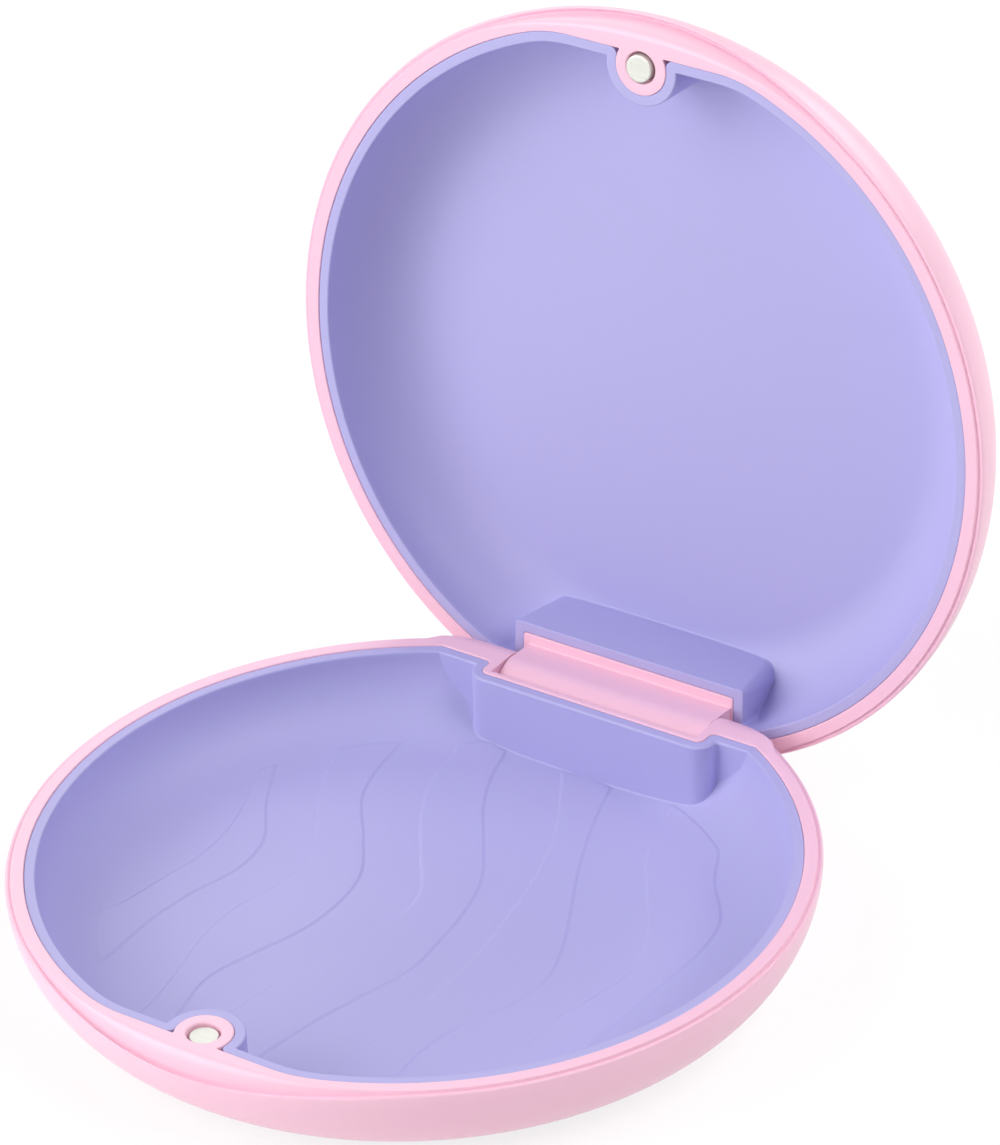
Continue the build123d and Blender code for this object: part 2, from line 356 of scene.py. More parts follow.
def floor_ring(radius, crisp):
    """Where each column ends on a ring of the floor, fanned out so that no column crosses a boxed wall."""
    inner = liner_outline(-sizes("case_liner")["edge"], crisp)[:HALF_COLUMNS + 1, 0]
    last = BACK_COLUMNS + ROUND_STEPS
    back = np.maximum.accumulate(inner[:BACK_COLUMNS + 1])
    fan = np.where(np.arange(FRONT_COLUMNS + 1) <= BOSS_STEPS, *FRONT_FAN)
    front = np.maximum.accumulate(inner[last:][::-1] * fan)[::-1]
    back = (back - back[0]) * BACK_FAN + FLOOR_TUCK * np.arange(len(back))
    front = front + FLOOR_TUCK * np.arange(len(front))[::-1]
    back_angles = np.arcsin(back / radius)
    front_angles = math.pi - np.arcsin(front / radius)
    round_angles = np.linspace(back_angles[-1], front_angles[0], ROUND_STEPS + 1)[1:-1]
    return turned_from_back(np.concatenate((back_angles, round_angles, front_angles))) * radius


def at_height(points, heights):
    """Points in the plan raised to the given heights."""
    return np.column_stack((points, np.broadcast_to(heights, len(points))))


def laid(name, rows):
    """A closed skin from rows of points: a grid wrapped round the case, merged, its one hole filled."""
    columns = len(rows[0])
    places = np.concatenate([np.vstack((row, row[:1])) for row in rows])
    bm = bmesh.new()
    bmesh.ops.create_grid(bm, x_segments=columns, y_segments=len(rows) - 1, size=1)
    for vertex, place in zip(bm.verts, places):
        vertex.co = place
    bmesh.ops.remove_doubles(bm, verts=bm.verts, dist=1e-4)
    bmesh.ops.holes_fill(bm, edges=bm.edges, sides=0)
    bmesh.ops.recalc_face_normals(bm, faces=bm.faces)
    if bm.calc_volume(signed=True) < 0:
        bmesh.ops.reverse_faces(bm, faces=bm.faces)
    return object_of(name, bm)


def object_of(name, bm):
    """A new object that holds the shape."""
    mesh = bpy.data.meshes.new(name)
    bm.to_mesh(mesh)
    bm.free()
    piece = bpy.data.objects.new(name, mesh)
    bpy.context.scene.collection.objects.link(piece)
    return piece


def combine(piece, tool, operation):
    """The piece with the tool cut away or joined on. The tool is used up."""
    change = piece.modifiers.new("combine", "BOOLEAN")
    change.operation = operation
    change.solver = "EXACT"
    change.object = tool
    graph = bpy.context.evaluated_depsgraph_get()
    made = bpy.data.meshes.new_from_object(piece.evaluated_get(graph))
    piece.modifiers.remove(change)
    old, piece.data = piece.data, made
    made.name = piece.name
    bpy.data.meshes.remove(old)
    used = tool.data
    bpy.data.objects.remove(tool)
    bpy.data.meshes.remove(used)
    if not piece.data.polygons:
        raise RuntimeError(f"{piece.name} came out empty")


def spun(name, profile, centre, steps=64):
    """A solid turned about Z from a profile of radius and height."""
    bm = bmesh.new()
    chain = [bm.verts.new((radius, 0, height)) for radius, height in profile]
    edges = [bm.edges.new(pair) for pair in zip(chain, chain[1:])]
    bmesh.ops.spin(
        bm, geom=chain + edges, cent=(0, 0, 0), axis=(0, 0, 1), angle=math.tau, steps=steps, use_merge=True
    )
    bmesh.ops.remove_doubles(bm, verts=bm.verts, dist=1e-4)
    bmesh.ops.translate(bm, verts=bm.verts, vec=centre)
    bmesh.ops.recalc_face_normals(bm, faces=bm.faces)
    return object_of(name, bm)


def barred(name, section, half_width, aside, end_round=0.0):
    """A bar along X from a section drawn in Y and Z, moved aside and its ends rounded."""
    bm = bmesh.new()
    face = bm.faces.new([bm.verts.new((aside - half_width, y, z)) for y, z in section])
    swept = bmesh.ops.extrude_face_region(bm, geom=[face], use_keep_orig=True)["geom"]
    far = [item for item in swept if isinstance(item, bmesh.types.BMVert)]
    bmesh.ops.translate(bm, verts=far, vec=(2 * half_width, 0, 0))
    bmesh.ops.recalc_face_normals(bm, faces=bm.faces)
    if end_round:
        ends = [edge for edge in bm.edges if abs(edge.verts[0].co.x - edge.verts[1].co.x) < half_width]
        bmesh.ops.bevel(
            bm, geom=ends, offset=end_round, offset_type="OFFSET", segments=3, profile=0.5,
            affect="EDGES", clamp_overlap=True, material=-1,
        )
    return object_of(name, bm)


def rod_along_hinge(name, radius, left, right, height):
    """A plain rod on the hinge line, which only cuts."""
    bm = bmesh.new()
    turn = Matrix.Rotation(math.pi / 2, 4, "Y")
    place = Matrix.Translation(((left + right) / 2, HINGE_Y, height)) @ turn
    bmesh.ops.create_cone(
        bm, cap_ends=True, segments=48, radius1=radius, radius2=radius, depth=right - left, matrix=place
    )
    return object_of(name, bm)


# Heights of the turned surfaces of one half


def dome_radius(height):
    """Radius of the outer side at a height below the rim."""
    shell = sizes("case_shell")
    return OUTER_RADIUS - shell["side_arc"] + math.sqrt(shell["side_arc"] ** 2 - height ** 2)


def seat_height(radius, play=0.0):
    """Height of the shell's inner surface, or of a liner with some play above it."""
    shell = sizes("case_shell")
    inset = shell["wall"] + play
    side_at = OUTER_RADIUS - shell["side_arc"]
    foot_arc_z = shell["foot_arc"] - HALF_DEPTH
    lean = (shell["foot_radius"] - side_at) / (shell["foot_arc"] - shell["side_arc"])
    join = side_at - (shell["side_arc"] - inset) * lean
    flat = inset - HALF_DEPTH
    on_foot_arc = foot_arc_z - np.sqrt(
        np.maximum((shell["foot_arc"] - inset) ** 2 - (radius - shell["foot_radius"]) ** 2, 0)
    )
    on_side_arc = -np.sqrt(np.maximum((shell["side_arc"] - inset) ** 2 - (radius - side_at) ** 2, 0))
    return np.where(radius < shell["foot_radius"], flat, np.where(radius < join, on_foot_arc, on_side_arc))


def bowl_height(radius):
    """Height of the cavity's surface: a flat floor and a quarter round wall."""
    depth = sizes("case_liner")["depth"]
    inside = depth ** 2 - np.maximum(radius - floor_radius(), 0) ** 2
    return -np.sqrt(np.maximum(inside, 0))


def floor_radius():
    """Radius of the cavity's flat floor."""
    liner = sizes("case_liner")
    return OUTER_RADIUS - sizes("case_shell")["wall"] - liner["edge"] - liner["depth"]


# Rim of a shell, each pair the value where the fine line runs and the one in the middle of the scoop
SCOOP_REACH = 36.0         # degrees each side of the front that the finger scoop runs
SCOOP_SOFTNESS = 1.5       # above 1, the scoop's soft edges come in late
WALL_LEAN = 0.27           # the wall above the step leans out by this much for each millimetre down
CREASE_RADIUS = (41.95, 41.70)
CREASE_DROP = (0.06, 0.31)
SIDE_DROP = (0.3, 0.4)
LIP_RISE = (0.08, 0.43)
LIP_INSET = (0.10, 0.04)
LAND_REACH = (0.45, 1.45)
LIP_ROUND = 0.23
CREASE_ROUND = (0.03, 0.20)
LAND_ROUND = (0.07, 1.67)
LONGEST_ROUND = 0.48       # the share of a side that the round of a corner may take
RIM_ARC_STEPS = 7
RIM_ROWS = 3 * (RIM_ARC_STEPS + 1) + 2
SIDE_ROWS = 24
FOOT_ROWS = 9
EDGE_ROWS = 5
LINER_EDGE_ROWS = 3
WALL_ROWS = 5
GROOVE_ROWS = 6
BOWL_ROWS = 34
PATH_STEPS = 120
GROOVE_SHARE = 0.8         # the share of a low wall that the groove may take


def bent(start, corner, end, t):
    """A point on the curve from start to end that is drawn towards the corner."""
    return (1 - t) ** 2 * start + 2 * t * (1 - t) * corner + t * t * end


def rounded(corners, radii):
    """A bent line whose inner corners are rounded, always with the same number of points."""
    corners = [np.array(c, float) for c in corners]
    points = [corners[0]]
    for before, corner, after, radius in zip(corners, corners[1:], corners[2:], radii):
        back, on = before - corner, after - corner
        back_length, on_length = np.linalg.norm(back), np.linalg.norm(on)
        cosine = float(back @ on / (back_length * on_length))
        reach = radius / math.tan(math.acos(max(-1.0, min(1.0, cosine))) / 2)
        start = corner + back * min(reach / back_length, LONGEST_ROUND)
        end = corner + on * min(reach / on_length, LONGEST_ROUND)
        points += [bent(start, corner, end, k / RIM_ARC_STEPS) for k in range(RIM_ARC_STEPS + 1)]
    points.append(corners[-1])
    return points


def rim_section(from_front):
    """Radius and height across the rim, from the side to the land, at an angle in degrees from the front."""
    shell = sizes("case_shell")
    scoop = 0.5 + 0.5 * math.cos(math.pi * min(from_front / SCOOP_REACH, 1.0))
    soft = scoop ** SCOOP_SOFTNESS
    depth = blend((shell["step_depth"], shell["scoop_depth"]), scoop)
    side_z = -(depth + blend(SIDE_DROP, scoop))
    lip_z = -(depth - blend(LIP_RISE, soft))
    crease = blend(CREASE_RADIUS, scoop)
    wall_top = crease - WALL_LEAN * depth
    corners = (
        (dome_radius(side_z), side_z),
        (dome_radius(lip_z) - blend(LIP_INSET, scoop), lip_z),
        (crease, -(depth + blend(CREASE_DROP, scoop))),
        (wall_top, 0.0),
        (wall_top - blend(LAND_REACH, soft), 0.0),
    )
    return rounded(corners, (LIP_ROUND, blend(CREASE_ROUND, scoop), blend(LAND_ROUND, soft)))


def blend(pair, share):
    """A value between the two of a pair."""
    return pair[0] + (pair[1] - pair[0]) * share


HOLD_WIDTH = 0.35          # how softly the back cut holds the rim back


class BackCut:
    """The rounded face that ends a half at its back: over a knuckle on the base, flat on the lid."""

    def __init__(self, start, radius, lean, sweep, fade):
        self.start = start      # where the land ends
        self.radius = radius    # from the land round to the face
        self.lean = lean        # degrees that the face leans in
        self.sweep = sweep      # degrees of the round that the rim's rows cover
        self.fade = fade        # where the step outside the rim comes in, from the middle

    def limit(self, z):
        """How far back the half reaches at a height."""
        lean = math.radians(self.lean)
        heel_z = -self.radius * (1 + math.sin(lean))
        heel_y = self.start + self.radius * math.cos(lean)
        round_y = self.start + np.sqrt(np.maximum(self.radius ** 2 - (z + self.radius) ** 2, 0))
        return np.where(z > heel_z, round_y, heel_y + (z - heel_z) * math.tan(lean))

    def share(self, x):
        """1 where the cut shapes the rim, 0 where the step runs."""
        return 1 - smooth((abs(x) - self.fade[0]) / (self.fade[1] - self.fade[0]))


def held_back(row, cut):
    """The row with its points brought in to the back cut, softly."""
    row = np.array(row)
    limit = cut.limit(row[:, 2])
    free = np.clip(0.5 + 0.5 * (limit - row[:, 1]) / HOLD_WIDTH, 0, 1)
    held = limit + (row[:, 1] - limit) * free - HOLD_WIDTH * free * (1 - free)
    row[:, 1] = np.where(row[:, 1] > 0, held, row[:, 1])
    return row


def foot_rows(around, turn):
    """Rows from the middle of the foot to where the side begins, at an angle under the side's centre."""
    shell = sizes("case_shell")
    foot, foot_arc = shell["foot_radius"], shell["foot_arc"]
    rows = [at_height(around * 0, -HALF_DEPTH), at_height(around * foot * FOOT_INNER, -HALF_DEPTH)]
    for angle in np.linspace(-math.pi / 2, -turn, FOOT_ROWS + 1)[:-1]:
        height = foot_arc * (1 + math.sin(angle)) - HALF_DEPTH
        rows.append(at_height(around * (foot + foot_arc * math.cos(angle)), height))
    return rows


def side_rows(around, turn, cut):
    """Rows up the side and over the rim to the land, ended by the back cut."""
    shell = sizes("case_shell")
    side_arc = shell["side_arc"]
    from_front = np.degrees(np.arccos(np.clip(-around[:, 1], -1, 1)))
    share = cut.share(around[:, 0] * OUTER_RADIUS) * (around[:, 1] > 0)
    sections = np.array([rim_section(angle) for angle in from_front])
    bends = np.radians(cut.sweep) * np.clip(1 - np.arange(RIM_ROWS) / (RIM_ROWS - 2), 0, 1)
    back_section = [(dome_radius(z), z) for z in -cut.radius * (1 - np.cos(bends))]
    sections = sections + (np.array(back_section) - sections) * share[:, None, None]
    rim_angle = np.arcsin(sections[:, 0, 1] / side_arc)
    rows = []
    for k in range(SIDE_ROWS):
        angle = -turn + (rim_angle + turn) * k / SIDE_ROWS
        radius = OUTER_RADIUS - side_arc + side_arc * np.cos(angle)
        rows.append(held_back(at_height(around * radius[:, None], side_arc * np.sin(angle)), cut))
    for k in range(RIM_ROWS):
        rows.append(held_back(at_height(around * sections[:, k, :1], sections[:, k, 1]), cut))
    rows[-1][:, 1] -= LAND_TUCK * share
    return rows


def seat_rows(wall, crisp, ceiling, play=0.0):
    """Rows over a seat, from under the rim to its middle, nowhere above a ceiling."""
    target = floor_ring(floor_radius(), crisp)
    rows = []
    for part in SEAT_PARTS:
        points = wall + (target - wall) * part
        seat = seat_height(np.linalg.norm(points, axis=1), play)
        rows.append(at_height(points, np.minimum(seat, ceiling)))
    low = seat_height(0.0, play)
    return rows + [at_height(target * SEAT_RADIUS / floor_radius(), low), at_height(target * 0, low)]


def shell_rows(cut, crisp):
    """Rows of points over one shell, from the middle of its foot over the rim to the middle of its seat."""
    shell, recess = sizes("case_shell"), sizes("case_liner")["recess"]
    around = outer_directions()
    across = shell["foot_radius"] + shell["side_arc"] - OUTER_RADIUS
    turn = math.acos(across / (shell["side_arc"] - shell["foot_arc"]))
    rows = foot_rows(around, turn) + side_rows(around, turn, cut)
    land, edge_round = rows[-1], shell["edge_round"]
    inner = at_height(outline(edge_round, BOSS_ROOT, crisp), 0.0)
    rows += [land + (inner - land) * part for part in LAND_PARTS]
    for bend in np.linspace(0, math.pi / 2, EDGE_ROWS + 1):
        edge = outline(edge_round * (1 - math.sin(bend)), BOSS_ROOT, crisp)
        rows.append(at_height(edge, -edge_round * (1 - math.cos(bend))))
    wall = outline(0, BOSS_ROOT, crisp)
    rows.append(at_height(wall, -recess - WALL_DROP))
    return rows + seat_rows(wall, crisp, -recess - SEAT_DROP)


def liner_rows(crisp):
    """Rows of points over one liner, from the middle of its underside over its rim to the floor."""
    liner = sizes("case_liner")
    edge, recess = liner["edge"], liner["recess"]
    wall = liner_outline(-LINER_PLAY, crisp)
    rows = seat_rows(wall, crisp, -recess - LINER_LEAST, LINER_PLAY)[::-1]
    for bend in np.linspace(0, math.pi / 2, LINER_EDGE_ROWS):
        grow = -LINER_PLAY - LINER_OUTER_ROUND * (1 - math.cos(bend))
        drop = LINER_OUTER_ROUND * (1 - math.sin(bend))
        rows.append(at_height(liner_outline(grow, crisp), -recess - drop))
    rows.append(at_height(liner_outline(-LINER_PLAY - LINER_OUTER_ROUND - RIM_MARGIN, crisp), -recess))
    rounds = liner["edge_round"], liner["crisp_round"] if crisp else liner["soft_round"]
    bends = (EDGE_LEAD, *np.linspace(0, math.pi / 2, EDGE_ROWS + 1))
    plain, housing = ([edge_row(edge, recess, r, bend, crisp) for bend in bends] for r in rounds)
    at_housing = housing_share()[:, None]
    rows += [a + (b - a) * at_housing for a, b in zip(plain, housing)]
    return rows[:-1] + cavity_rows(rows[-1][:, 2], floor_ring(floor_radius(), crisp), crisp)


def edge_row(edge, recess, edge_round, bend, crisp):
    """One row over the rim's inner edge, at an angle round it. Before the edge it lies on the flat rim."""
    grow = -edge + edge_round * (1 - math.sin(bend))
    drop = edge_round * (1 - math.cos(bend)) if bend > 0 else 0.0
    return at_height(liner_outline(grow, crisp), -recess - drop)


def cavity_rows(top, target, crisp):
    """Rows down the boxed walls, round the groove at their foot and over the bowl to its floor."""
    liner = sizes("case_liner")
    widest = floor_radius() + np.sqrt(liner["depth"] ** 2 - top ** 2)
    rim, start = (
        inner * np.minimum(1, widest / np.linalg.norm(inner, axis=1))[:, None]
        for inner in (liner_outline(-liner["edge"], crisp, foot) for foot in (False, True))
    )
    columns = [cavity_column(*parts, liner["groove"]) for parts in zip(rim, start, target, top)]
    return list(np.array(columns).transpose(1, 0, 2))


def cavity_column(rim, start, end, top, groove):
    """One column of the cavity: down a wall, round the groove, then over the bowl to the floor."""
    parts = np.linspace(0, 1, PATH_STEPS + 1)[:, None]
    plan = start + (end - start) * parts
    height = bowl_height(np.linalg.norm(plan, axis=1))
    height[0] = min(height[0], top)
    path = np.column_stack((plan, height))
    lengths = np.concatenate(([0], np.cumsum(np.linalg.norm(np.diff(path, axis=0), axis=1))))
    foot = path[0]
    fall = top - foot[2]
    reach = min(groove, GROOVE_SHARE * fall)
    above = foot + np.array((0, 0, reach))
    rim = np.append(rim, top)
    beyond = path_point(path, lengths, reach)
    column = [rim + (above - rim) * k / WALL_ROWS for k in range(WALL_ROWS)]
    column += [bent(above, foot, beyond, k / GROOVE_ROWS) for k in range(GROOVE_ROWS)]
    stretch = np.linspace(reach, lengths[-1], BOWL_ROWS + 1)
    return column + [path_point(path, lengths, at) for at in stretch]


def path_point(path, lengths, at):
    """The point of a path at a length along it."""
    return np.array([np.interp(at, lengths, path[:, axis]) for axis in range(3)])


# Raised wave bands: the stations from back to front, and where each edge line runs at them
WAVE_STATIONS = (31, 27, 22, 16, 10, 4, -2, -8, -14, -20, -26, -30)
WAVE_EDGES = (
    (-36.0, -35.0, -33.5, -31.8, -29.1, -27.2, -26.8, -27.8, -28.8, -31.0, -33.0, -34.0),
    (-34.0, -33.0, -31.2, -29.1, -26.1, -22.2, -21.4, -22.9, -23.7, -23.6, -23.2, -23.0),
    (-30.0, -28.0, -25.6, -23.7, -20.4, -16.8, -16.5, -17.8, -17.7, -16.4, -15.3, -15.0),
    (-21.0, -20.0, -19.6, -17.7, -13.4, -9.6, -8.5, -9.0, -10.9, -12.4, -11.4, -10.6),
    (-14.9, -14.3, -13.4, -10.6, -6.6, -2.6, -2.2, -3.5, -5.6, -6.7, -7.5, -8.0),
    (-9.2, -8.1, -5.9, -2.0, 1.8, 3.7, 4.5, 4.8, 3.3, 1.7, 0.6, 0.0),
    (-2.3, 0.1, 2.9, 5.2, 6.8, 7.9, 8.8, 9.1, 9.0, 8.2, 7.5, 7.2),
    (4.4, 5.6, 7.4, 10.0, 13.0, 15.9, 17.8, 17.1, 14.7, 13.8, 14.5, 15.0),
    (11.8, 12.6, 14.2, 18.1, 21.9, 24.1, 23.3, 22.0, 21.9, 21.4, 20.8, 20.5),
    (16.7, 20.6, 23.2, 27.6, 28.8, 28.6, 28.3, 28.0, 27.6, 26.8, 25.5, 24.5),
)
WAVE_SPACING = 0.5
WAVE_END = 33.8            # the bands end on the bowl's wall
WAVE_CUTS = 30
WAVE_BACK = 31.8           # or inside the hinge housing
WAVE_END_SPACING = 2.0
WAVE_ROOT = -1.5           # underside of a band, as a share of its height
WAVE_FOOT = -0.05          # foot of its ramp, just under the floor
WAVE_RAMP = ((0.10, 0.12), (0.12, 0.5), (0.12, 0.88), (0.10, 1.0))
PAINTED_HIGHLIGHT_REACH = 0.5           # the left ramps of the bands get a painted highlight, within this of the edge line


def wave_line(values):
    """A smooth line through the stations, cut where it runs into the bowl or the housing."""
    stations = np.array(WAVE_STATIONS[::-1], float)
    values = np.array(values[::-1])
    slopes = np.gradient(values, stations)
    y = np.arange(stations[0], WAVE_BACK, WAVE_SPACING)
    k = np.clip(np.searchsorted(stations, y, side="right") - 1, 0, len(stations) - 2)
    gap = stations[k + 1] - stations[k]
    t = (y - stations[k]) / gap
    x = (
        (1 + 2 * t) * (1 - t) ** 2 * values[k] + t * (1 - t) ** 2 * gap * slopes[k]
        + t * t * (3 - 2 * t) * values[k + 1] + t * t * (t - 1) * gap * slopes[k + 1]
    )
    inside = np.hypot(x, y) < WAVE_END
    points = list(zip(x[inside], y[inside]))
    return points[:1] + points[3:-3] + points[-1:]


def wave_end(start, end):
    """Points between the ends of two lines, pushed out under the bowl's wall or the housing."""
    start, end = np.array(start), np.array(end)
    steps = int(np.linalg.norm(end - start) / WAVE_END_SPACING) + 1
    points = []
    for k in range(1, steps):
        point = start + (end - start) * k / steps
        point = point * WAVE_END / np.linalg.norm(point)
        points.append(tuple(point * min(1.0, WAVE_BACK / max(point[1], 1e-6)) if point[1] > 0 else point))
    return points


def wave_band(left, right):
    """One raised band that follows the cavity: its outline drawn up through the floor along a soft ramp."""
    liner = sizes("case_liner")
    bm = bmesh.new()
    pale = bm.verts.layers.float.new("pale")
    left, right = wave_line(left), wave_line(right)[::-1]
    plan = left + wave_end(left[-1], right[0]) + right + wave_end(right[-1], left[0])
    face = bm.faces.new([bm.verts.new((x, y, WAVE_ROOT)) for x, y in plan])
    face.normal_update()
    if face.normal.z < 0:
        face.normal_flip()
    swept = bmesh.ops.extrude_face_region(bm, geom=[face], use_keep_orig=True)["geom"]
    top = [item for item in swept if isinstance(item, bmesh.types.BMFace)]
    rim = [item for item in swept if isinstance(item, bmesh.types.BMVert)]
    bmesh.ops.translate(bm, verts=rim, vec=(0, 0, WAVE_FOOT - WAVE_ROOT))
    reached = WAVE_FOOT
    for width, share in WAVE_RAMP:
        bmesh.ops.inset_region(bm, faces=top, thickness=width, depth=0, use_even_offset=True)
        moved = {v for f in top for v in f.verts}
        bmesh.ops.translate(bm, verts=list(moved), vec=(0, 0, share - reached))
        reached = share
        # Ramp vertices near the left edge line are marked pale, for a painted highlight on the band's left
        # ramp
        for vertex in moved:
            gap = np.hypot(*(np.array(left) - vertex.co.xy).T).min()
            vertex[pale] = 1.0 if gap < PAINTED_HIGHLIGHT_REACH and share < 1 else 0.0
    for axis in range(2):
        for k in range(-WAVE_CUTS, WAVE_CUTS + 1):
            place = Vector((0, 0, 0))
            place[axis] = k * WAVE_END / WAVE_CUTS
            across = Vector((0, 0, 0))
            across[axis] = 1
            bmesh.ops.bisect_plane(
                bm, geom=bm.verts[:] + bm.edges[:] + bm.faces[:], plane_co=place, plane_no=across
            )
    for vertex in bm.verts:
        floor = float(bowl_height(vertex.co.xy.length))
        vertex.co.z = floor + liner["wave_height"] * vertex.co.z
    bmesh.ops.recalc_face_normals(bm, faces=bm.faces)
    return object_of("band", bm)


# Placing and finishing of a piece
SHARP_ANGLE = math.radians(50)


def base_place():
    """Where the base half lies, from the drawing to the frame, in millimetres."""
    return Matrix.Translation((0, 0, HALF_DEPTH))


def lid_place():
    """Where the lid half lies: turned over onto the base, then swung open about the hinge."""
    hinge = Vector((0, HINGE_Y, -HINGE_DROP))
    gap = sizes("case_hinge")["closed_gap"]
    shut = Matrix.Translation((0, 0, gap)) @ Matrix.Rotation(math.pi, 4, "Y")
    swing = Matrix.Rotation(-math.radians(OPEN_ANGLE), 4, "X")
    return base_place() @ Matrix.Translation(hinge) @ swing @ Matrix.Translation(-hinge) @ shut


def finished(piece, place, body, node, material):
    """Set a piece in the frame, smooth it, give it its material, hand it to its body and hide the frame's
    part of its node.
    """
    bm = bmesh.new()
    bm.from_mesh(piece.data)
    bmesh.ops.transform(bm, matrix=Matrix.Scale(MM, 4) @ place, verts=bm.verts)
    bm.to_mesh(piece.data)
    bm.free()
    piece.data.shade_smooth()
    piece.data.set_sharp_from_angle(angle=SHARP_ANGLE)
    weighted = piece.modifiers.new("weighted", "WEIGHTED_NORMAL")
    weighted.keep_sharp = True
    piece.data.materials.clear()
    piece.data.materials.append(bpy.data.materials[material])
    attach(piece, body)
    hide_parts(node)


# Shells
BACK_CUT_FADE = 2.0
LID_BACK_ROUND = 0.4
KNUCKLE_SWEEP = 40         # degrees of the round over a knuckle that the rim's rows cover
BORE_FLARE = 0.2
MAGNET_PLAY = 0.05
SEAT_PLAY = 0.01
PIN_PLAY = 0.01
POCKET_LIP = 0.15
LUG_END_ROUND = 0.12
LUG_FILLET = 0.12
FAR = 60.0


def bore_tool(magnet_top):
    """The open bore of a magnet with its seat, flared where it meets the land."""
    magnet = sizes("case_magnet")
    bore, depth = magnet["bore_radius"], magnet["bore_depth"]
    seat = MAGNET_RADIUS + MAGNET_PLAY
    low = magnet_top - magnet["height"] - SEAT_PLAY
    profile = [(0, low), (seat, low), (seat, -depth), (bore, -depth)]
    profile += arc((bore + BORE_FLARE, -BORE_FLARE), BORE_FLARE, 180, 90, 5)
    profile += [(bore + BORE_FLARE, 1.0), (0, 1.0)]
    return spun("bore_tool", profile, (0, MAGNET_Y, 0))


def pocket_tool():
    """The room for the lug in the base, its front edge rounded."""
    hinge = sizes("case_hinge")
    axis = (HINGE_Y, -HINGE_DROP)
    front = axis[0] - hinge["pocket_radius"]
    section = arc((front - POCKET_LIP, -POCKET_LIP), POCKET_LIP, 90, 0, 5)
    section += arc(axis, hinge["pocket_radius"], 180, 270, 16)
    section += [(FAR, axis[1] - hinge["pocket_radius"]), (FAR, FAR), (front - POCKET_LIP, FAR)]
    return barred("pocket_tool", section, hinge["pocket_half"], hinge["lug_side"])


def lug():
    """The wide lug in the lid's own half: a barrel on the hinge line and a neck down to the land."""
    hinge = sizes("case_hinge")
    axis = (HINGE_Y, HINGE_DROP + hinge["closed_gap"])
    radius = hinge["lug_radius"]
    root = hinge["closed_gap"] - hinge["lug_root"]
    neck = axis[0] - radius
    section = [(axis[0], root), (neck - LUG_FILLET, root)]
    section += arc((neck - LUG_FILLET, LUG_FILLET), LUG_FILLET, -90, 0, 5)
    section += arc(axis, radius, 180, -90, 54)
    return barred("lug", section, hinge["lug_half"], -hinge["lug_side"], LUG_END_ROUND)


def make_base_shell():
    """The base shell with its knuckles, pocket, pin hole and magnet bore."""
    edge = math.sqrt(OUTER_RADIUS ** 2 - HINGE_Y ** 2)
    cut = BackCut(HINGE_Y, HINGE_DROP, OPEN_ANGLE - 90, KNUCKLE_SWEEP, (edge, edge + BACK_CUT_FADE))
    piece = laid("pink_base", shell_rows(cut, False))
    combine(piece, pocket_tool(), "DIFFERENCE")
    hole = rod_along_hinge("hole_tool", PIN_RADIUS + PIN_PLAY, PIN_LEFT - PIN_PLAY, FAR, -HINGE_DROP)
    combine(piece, hole, "DIFFERENCE")
    combine(piece, bore_tool(sizes("case_magnet")["base_top"]), "DIFFERENCE")
    finished(piece, base_place(), "base", "base_shell", "moulded_pink")


def make_lid_shell():
    """The lid shell with its lug, the lug's running hole and the magnet bore."""
    hinge = sizes("case_hinge")
    edge = math.sqrt(OUTER_RADIUS ** 2 - hinge["lid_back"] ** 2)
    cut = BackCut(hinge["lid_back"] - LID_BACK_ROUND, LID_BACK_ROUND, 0, 90, (edge, edge + BACK_CUT_FADE))
    piece = laid("pink_lid", shell_rows(cut, True))
    combine(piece, lug(), "UNION")
    hole = rod_along_hinge("hole_tool", hinge["pin_bore"], -FAR, FAR, HINGE_DROP + hinge["closed_gap"])
    combine(piece, hole, "DIFFERENCE")
    combine(piece, bore_tool(sizes("case_magnet")["lid_top"]), "DIFFERENCE")
    finished(piece, lid_place(), "lid", "lid_shell", "moulded_pink")


def make_base_liner():
    """The base's liner with the wave bands on its floor."""
    piece = laid("lavender_base_liner", liner_rows(False))
    # The pale attribute carries the painted highlight on the bands' left ramps
    piece.data.attributes.new("pale", "FLOAT", "POINT")
    for left, right in zip(WAVE_EDGES[::2], WAVE_EDGES[1::2]):
        combine(piece, wave_band(left, right), "UNION")
    finished(piece, base_place(), "base", "base_liner", "soft_lavender")


def make_lid_liner():
    """The lid's plain liner."""
    piece = laid("lavender_lid_liner", liner_rows(True))
    piece.data.attributes.new("pale", "FLOAT", "POINT")
    finished(piece, lid_place(), "lid", "lid_liner", "soft_lavender")


def round_bar(radius, low, high, edge_round):
    """Profile of a round bar on Z with rounded edges, from the middle of its low end to its high edge."""
    inner = radius - edge_round
    profile = [(0, low)] + arc((inner, low + edge_round), edge_round, -90, 0, 4)
    return profile + arc((inner, high - edge_round), edge_round, 0, 90, 4)


DISH = ((0.8, 0.004), (0.4, 0.012), (0, 0.014))    # share of a magnet's radius, and how deep it is worn
PIN_END_ROUND = 0.15


def make_magnet(name, top, place, body, node):
    """A plated disc with rounded edges and a shallow dish worn in its middle."""
    magnet = sizes("case_magnet")
    profile = round_bar(MAGNET_RADIUS, top - magnet["height"], top, magnet["chamfer"])
    profile += [(MAGNET_RADIUS * share, top - worn) for share, worn in DISH]
    piece = spun(name, profile, (0, MAGNET_Y, 0), 96)
    finished(piece, place, body, node, "nickel_plate")


def make_pin():
    """A drawn wire with rounded ends."""
    profile = round_bar(PIN_RADIUS, PIN_LEFT, PIN_RIGHT, PIN_END_ROUND) + [(0, PIN_RIGHT)]
    piece = spun("steel_pin", profile, (0, 0, 0), 48)
    along = Matrix.Translation((0, HINGE_Y, -HINGE_DROP)) @ Matrix.Rotation(math.pi / 2, 4, "Y")
    finished(piece, base_place() @ along, "base", "hinge_pin", "drawn_steel")


